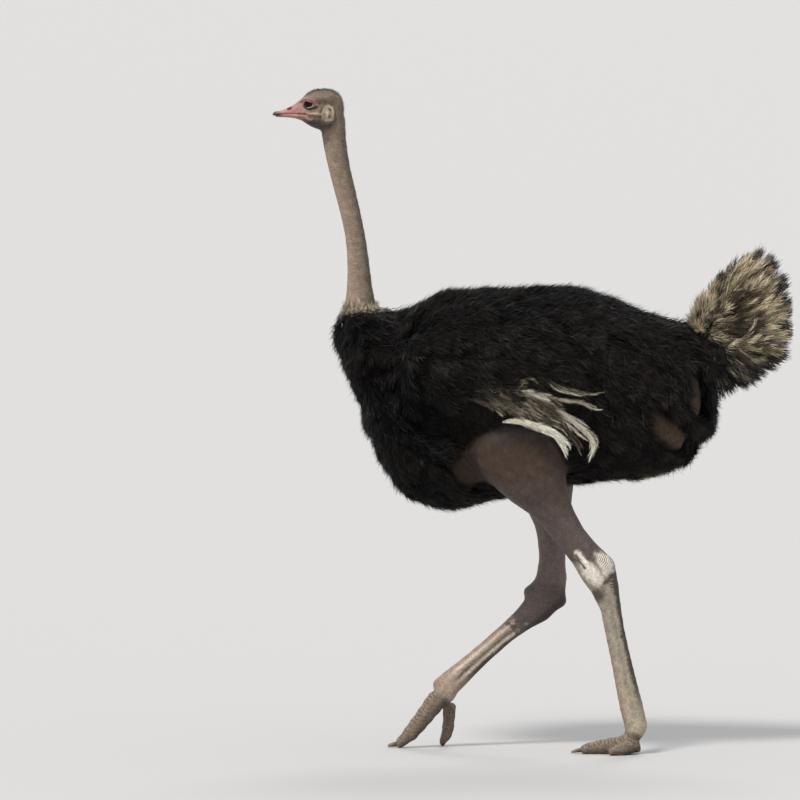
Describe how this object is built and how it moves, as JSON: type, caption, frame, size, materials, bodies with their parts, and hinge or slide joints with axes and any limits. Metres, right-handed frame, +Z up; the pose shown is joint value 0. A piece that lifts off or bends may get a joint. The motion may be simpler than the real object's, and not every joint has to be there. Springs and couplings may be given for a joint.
{
  "type": "ostrich",
  "caption": "Life-size still model of a male ostrich in mid-stride, with its head up, its wings folded and its tail raised.",
  "frame": {"origin": "on the floor, under the middle of the whole bird's box", "axes": "+Z up; the bird faces -X, and its left side is -Y"},
  "size_m": [1.6526, 0.6202, 2.1182],
  "materials": {
    "black_plumage": "soft, matt black body feathers with a faint brown tinge",
    "white_plumage": "loose white wing plumes, dusty and tan in places",
    "tail_plumage": "curly tan and cream tail plumes with dark bases and rims",
    "neck_skin": "matt, finely wrinkled grey-pink skin with short sparse down",
    "ear_skin": "pale bare skin round the ear opening",
    "leg_skin": "matt grey-brown bare skin, with pale scutes on the shanks and toes",
    "bill_horn": "pink horn, brown at the tip",
    "eye": "wet, very dark brown",
    "claw_horn": "worn dark horn"
  },
  "bodies": {
    "root": {"trunk": "black_plumage", "tail": "tail_plumage", "wing_left": "black_plumage", "wing_right": "black_plumage", "wing_plumes_left": "white_plumage", "wing_plumes_right": "white_plumage", "neck_lower": "neck_skin", "neck_middle": "neck_skin", "neck_upper": "neck_skin", "head": "neck_skin", "bill_upper": "bill_horn", "bill_lower": "bill_horn", "eye_left": "eye", "eye_right": "eye", "ear_left": "ear_skin", "ear_right": "ear_skin", "drumstick_left": "leg_skin", "shank_left": "leg_skin", "toe_inner_left": "leg_skin", "toe_outer_left": "leg_skin", "claw_left": "claw_horn", "drumstick_right": "leg_skin", "shank_right": "leg_skin", "toe_inner_right": "leg_skin", "toe_outer_right": "leg_skin", "claw_right": "claw_horn"}
  },
  "joints": []
}
